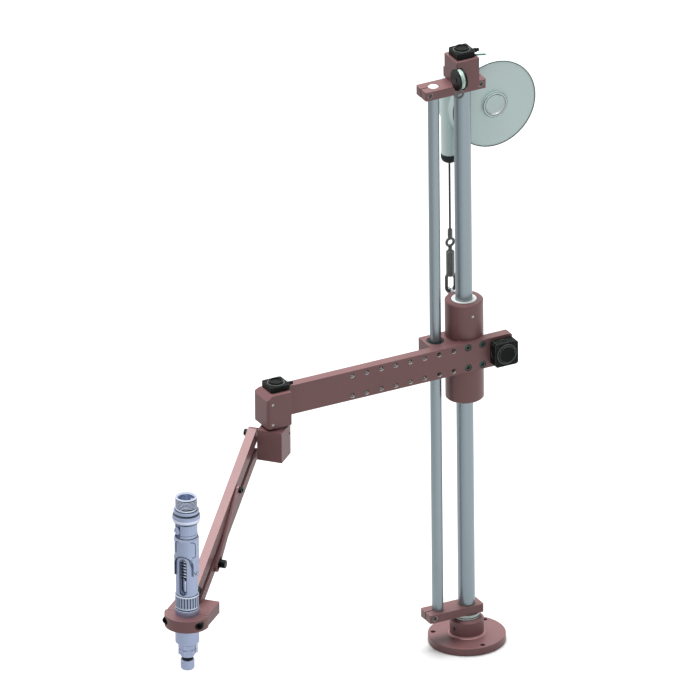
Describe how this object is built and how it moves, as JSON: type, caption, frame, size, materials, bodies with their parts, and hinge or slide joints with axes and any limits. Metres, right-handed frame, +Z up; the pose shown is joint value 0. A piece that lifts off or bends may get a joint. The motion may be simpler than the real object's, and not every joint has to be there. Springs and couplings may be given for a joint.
{
  "type": "articulated tool support arm",
  "caption": "Column-mounted tool arm: a balanced carriage slides on a swinging frame and carries a bar, an elbow and a parallelogram forearm that keeps an inline power tool upright.",
  "frame": {"origin": "the column's axis on the base flange's mounting face", "axes": "+Z up along the column; -X along the level arm bar towards the elbow; +Y towards the balancer's cable"},
  "size_m": [0.883, 0.3787, 1.153],
  "materials": {
    "anodised": "brown-rose anodised, satin",
    "ground_steel": "hard ground shaft, fine finish",
    "bearing_steel": "ground bearing steel",
    "black_oxide": "black oxide screws and cast hook",
    "green_black_screws": "dark passivated cap screws",
    "sensor_black": "moulded, fine grain",
    "case_white": "pale powder coat",
    "rubber_black": "moulded rubber",
    "bronze": "sintered bronze",
    "seal_white": "moulded seal",
    "zinc": "bright zinc plated",
    "wire_rope": "stranded wire, oiled",
    "spring_steel": "bright spring wire",
    "tool_steel": "satin blue-grey steel"
  },
  "bodies": {
    "base": {"base_flange": "anodised", "hub_grub_screws": "black_oxide", "column": "ground_steel", "column_plug": "bearing_steel", "thrust_race": "bearing_steel"},
    "swing_frame": {"thrust_bearing": "bearing_steel", "lower_plate": "anodised", "lower_bush": "bronze", "guide_rod": "ground_steel", "upper_plate": "anodised", "upper_bush": "bronze", "plate_clamp_screws": "black_oxide", "top_block": "anodised", "swing_sensor": "sensor_black", "swing_sensor_fittings": "zinc", "pulley_bracket": "black_oxide", "balancer_bracket": "anodised", "balancer_housing": "case_white", "balancer_cover": "case_white", "balancer_axle": "zinc", "power_spring": "spring_steel", "cable_stop": "rubber_black", "balancer_cable": "wire_rope"},
    "drum": {"cable_drum": "zinc"},
    "pulley": {"pulley_sheave": "bearing_steel"},
    "carriage": {"cable_ferrule": "black_oxide", "snap_hook": "black_oxide", "eye_bolt": "zinc", "carriage_sleeve": "anodised", "sleeve_bearings": "bearing_steel", "bearing_seals": "seal_white", "arm_bar": "anodised", "bar_screws": "green_black_screws", "guide_block": "anodised", "rod_bearing": "rubber_black", "travel_sensor": "sensor_black", "elbow_head": "anodised", "elbow_bearings": "bearing_steel", "elbow_sensor": "sensor_black", "elbow_sensor_fittings": "zinc", "set_screws": "zinc"},
    "gate": {"hook_gate": "black_oxide"},
    "forearm": {"elbow_shaft": "ground_steel", "forearm_yoke": "anodised", "elbow_washers": "zinc", "yoke_pivot_screws": "black_oxide"},
    "upper_arm_link": {"upper_link": "anodised", "stay_screw": "black_oxide"},
    "lower_arm_link": {"lower_link": "anodised"},
    "stay_bar": {"stay": "anodised"},
    "stay_lock": {"stay_knob": "black_oxide"},
    "tool_head": {"clamp_rear": "anodised", "clamp_front": "anodised", "clamp_screws": "black_oxide", "tool_body": "tool_steel", "tool_shell": "tool_steel", "tool_nose": "tool_steel", "tool_fittings": "tool_steel", "return_spring": "spring_steel"},
    "chuck": {"tool_chuck": "tool_steel"}
  },
  "joints": [
    {"name": "swing", "type": "hinge", "parent": "base", "child": "swing_frame", "pos_m": [0, 0, 0.06], "axis": [0, 0, 1], "range_deg": [-170, 170]},
    {"name": "lift", "type": "slide", "parent": "swing_frame", "child": "carriage", "axis": [0, 0, 1], "range_m": [-0.2, 0.12], "deforming": ["balancer_cable"]},
    {"name": "drum_turn", "type": "hinge", "parent": "swing_frame", "child": "drum", "pos_m": [0.0735, 0.05, 1.0167], "axis": [0, 1, 0], "range_deg": [-157, 95]},
    {"name": "pulley_turn", "type": "hinge", "parent": "swing_frame", "child": "pulley", "pos_m": [-0.0294, -0.0455, 1.11585], "axis": [1, 0, 0], "continuous": true},
    {"name": "gate_open", "type": "hinge", "parent": "carriage", "child": "gate", "pos_m": [0.008, 0.05, 0.681], "axis": [0, 1, 0], "range_deg": [0, 30], "stiffness_Nm_per_rad": 0.02, "springref_deg": -20.05},
    {"name": "elbow", "type": "hinge", "parent": "carriage", "child": "forearm", "pos_m": [-0.392, -0.036, 0.5], "axis": [0, 0, 1], "range_deg": [-190, 107]},
    {"name": "pitch", "type": "hinge", "parent": "forearm", "child": "upper_arm_link", "pos_m": [-0.43605, -0.03224, 0.517], "axis": [0.6626, -0.749, 0], "range_deg": [-15, 15]},
    {"name": "lower_link_pivot", "type": "hinge", "parent": "forearm", "child": "lower_arm_link", "pos_m": [-0.43605, -0.03224, 0.48], "axis": [0.6626, -0.749, 0], "range_deg": [-15, 15]},
    {"name": "tool_head_pivot", "type": "hinge", "parent": "upper_arm_link", "child": "tool_head", "pos_m": [-0.65658, -0.22735, 0.347], "axis": [0.6626, -0.749, 0], "range_deg": [-15, 15]},
    {"name": "stay_pivot", "type": "hinge", "parent": "upper_arm_link", "child": "stay_bar", "pos_m": [-0.51388, -0.10111, 0.457], "axis": [0.6626, -0.749, 0], "range_deg": [-3, 3]},
    {"name": "stay_clamp", "type": "hinge", "parent": "lower_arm_link", "child": "stay_lock", "pos_m": [-0.59061, -0.16899, 0.36085], "axis": [0.6626, -0.749, 0], "range_deg": [0, 180]},
    {"name": "chuck_spin", "type": "hinge", "parent": "tool_head", "child": "chuck", "pos_m": [-0.68504, -0.25253, 0.264], "axis": [0, 0, 1], "continuous": true}
  ],
  "couplings": [
    {"joint": "drum_turn", "follows": "lift", "rad_per_m": 13.605},
    {"joint": "lower_link_pivot", "follows": "pitch", "ratio": 1},
    {"joint": "tool_head_pivot", "follows": "pitch", "ratio": -1},
    {"joint": "stay_pivot", "follows": "pitch", "ratio": -0.178}
  ]
}
